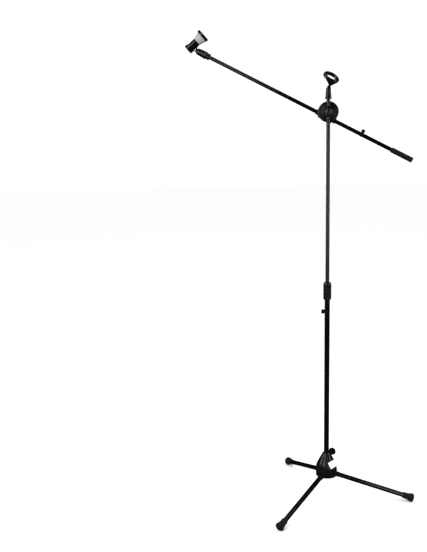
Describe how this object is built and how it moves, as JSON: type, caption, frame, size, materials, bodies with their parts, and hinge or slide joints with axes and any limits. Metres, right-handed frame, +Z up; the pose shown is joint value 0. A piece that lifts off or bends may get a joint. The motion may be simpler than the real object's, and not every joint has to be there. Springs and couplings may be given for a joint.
{
  "type": "boom microphone stand",
  "caption": "Telescopic floor stand with folding tripod legs, a tilting and sliding boom on a friction swivel, and pivoting microphone clips on boom and column.",
  "frame": {"origin": "on the floor under the column's axis", "axes": "+Z up the column, +X to the boom's rear end, +Y behind the stand"},
  "size_m": [0.9631, 0.6592, 2.0017],
  "materials": {
    "tube_black": "gloss powder coat",
    "hub_black": "satin moulded",
    "clip_black": "satin moulded",
    "grip_black": "matt",
    "foot_black": "matt",
    "steel": "zinc plated",
    "brass": "machined",
    "liner_grey": "soft matt",
    "label_white": "plain film",
    "washer_grey": "matt fibre"
  },
  "bodies": {
    "stand": {"base_body": "hub_black", "base_label": "label_white", "screw_insert_nut": "steel", "leg_1_pin": "steel", "leg_2_pin": "steel", "leg_3_pin": "steel", "lower_tube": "tube_black", "threaded_sleeve": "hub_black", "collet": "hub_black"},
    "leg_1": {"leg_1_knuckle": "hub_black", "leg_1_tube": "tube_black", "foot_1": "foot_black"},
    "leg_2": {"leg_2_knuckle": "hub_black", "leg_2_tube": "tube_black", "foot_2": "foot_black"},
    "leg_3": {"leg_3_knuckle": "hub_black", "leg_3_tube": "tube_black", "foot_3": "foot_black"},
    "thumb_screw": {"thumb_screw_shank": "steel", "thumb_screw_head": "hub_black"},
    "clutch": {"clutch_grip": "hub_black"},
    "lower_cable_clip": {"lower_cable_clip": "clip_black"},
    "upper_column": {"upper_tube": "tube_black", "guide_bush": "hub_black", "top_stud": "steel"},
    "swivel_front": {"clamp_front": "hub_black", "friction_washer": "washer_grey", "pivot_bolt": "steel"},
    "boom_clamp": {"clamp_rear": "hub_black", "boom_shoe": "hub_black"},
    "clamp_knob": {"clamp_knob": "hub_black", "knob_insert": "brass"},
    "boom": {"boom_tube": "tube_black", "boom_end_grip": "grip_black", "boom_stud": "steel"},
    "boom_cable_clip": {"boom_cable_clip": "clip_black"},
    "boom_clip_base": {"boom_clip_base": "clip_black", "boom_clip_screw": "steel", "boom_clip_nut": "steel"},
    "boom_clip": {"boom_clip_body": "clip_black", "boom_clip_liner": "liner_grey"},
    "top_clip_base": {"top_clip_base": "clip_black", "top_clip_screw": "steel", "top_clip_nut": "steel"},
    "top_clip": {"top_clip_body": "clip_black"}
  },
  "joints": [
    {"name": "leg_1_fold", "type": "hinge", "parent": "stand", "child": "leg_1", "pos_m": [0.038, 0, 0.1298], "axis": [0, -1, 0], "range_deg": [0, 105]},
    {"name": "leg_2_fold", "type": "hinge", "parent": "stand", "child": "leg_2", "pos_m": [-0.019, 0.03291, 0.1298], "axis": [0.866, 0.5, 0], "range_deg": [0, 105]},
    {"name": "leg_3_fold", "type": "hinge", "parent": "stand", "child": "leg_3", "pos_m": [-0.019, -0.03291, 0.1298], "axis": [-0.866, 0.5, 0], "range_deg": [0, 105]},
    {"name": "base_screw_turn", "type": "hinge", "parent": "stand", "child": "thumb_screw", "pos_m": [0.02175, 0.03767, 0.193], "axis": [0.5, 0.866, 0], "continuous": true},
    {"name": "clutch_turn", "type": "hinge", "parent": "stand", "child": "clutch", "pos_m": [0, 0, 0.92125], "axis": [0, 0, 1], "range_deg": [-45, 45]},
    {"name": "lower_cable_clip_turn", "type": "hinge", "parent": "stand", "child": "lower_cable_clip", "pos_m": [0, 0, 0.8325], "axis": [0, 0, 1], "continuous": true},
    {"name": "height_slide", "type": "slide", "parent": "stand", "child": "upper_column", "axis": [0, 0, 1], "range_m": [-0.6, 0]},
    {"name": "swivel_turn", "type": "hinge", "parent": "upper_column", "child": "swivel_front", "pos_m": [0, 0, 1.656], "axis": [0, 0, 1], "continuous": true},
    {"name": "boom_tilt", "type": "hinge", "parent": "swivel_front", "child": "boom_clamp", "pos_m": [0, 0.0215, 1.656], "axis": [0, 1, 0], "range_deg": [-88, 37]},
    {"name": "clamp_knob_turn", "type": "hinge", "parent": "swivel_front", "child": "clamp_knob", "pos_m": [0, 0.06, 1.656], "axis": [0, 1, 0], "continuous": true},
    {"name": "boom_slide", "type": "slide", "parent": "boom_clamp", "child": "boom", "axis": [0.8829, 0, -0.4695], "range_m": [-0.1, 0.28]},
    {"name": "boom_cable_clip_turn", "type": "hinge", "parent": "boom", "child": "boom_cable_clip", "pos_m": [0.13388, 0.038, 1.56273], "axis": [0.8829, 0, -0.4695], "range_deg": [-50, 230]},
    {"name": "boom_clip_turn", "type": "hinge", "parent": "boom", "child": "boom_clip_base", "pos_m": [-0.48683, 0.038, 1.89277], "axis": [0.8829, 0, -0.4695], "continuous": true},
    {"name": "boom_clip_tilt", "type": "hinge", "parent": "boom_clip_base", "child": "boom_clip", "pos_m": [-0.5451, 0.038, 1.92375], "axis": [0, -1, 0], "range_deg": [-22, 60]},
    {"name": "top_clip_turn", "type": "hinge", "parent": "upper_column", "child": "top_clip_base", "pos_m": [0, 0, 1.706], "axis": [0, 0, 1], "continuous": true},
    {"name": "top_clip_tilt", "type": "hinge", "parent": "top_clip_base", "child": "top_clip", "pos_m": [0, 0, 1.751], "axis": [-0.7071, -0.7071, 0], "range_deg": [-50, 35]}
  ]
}
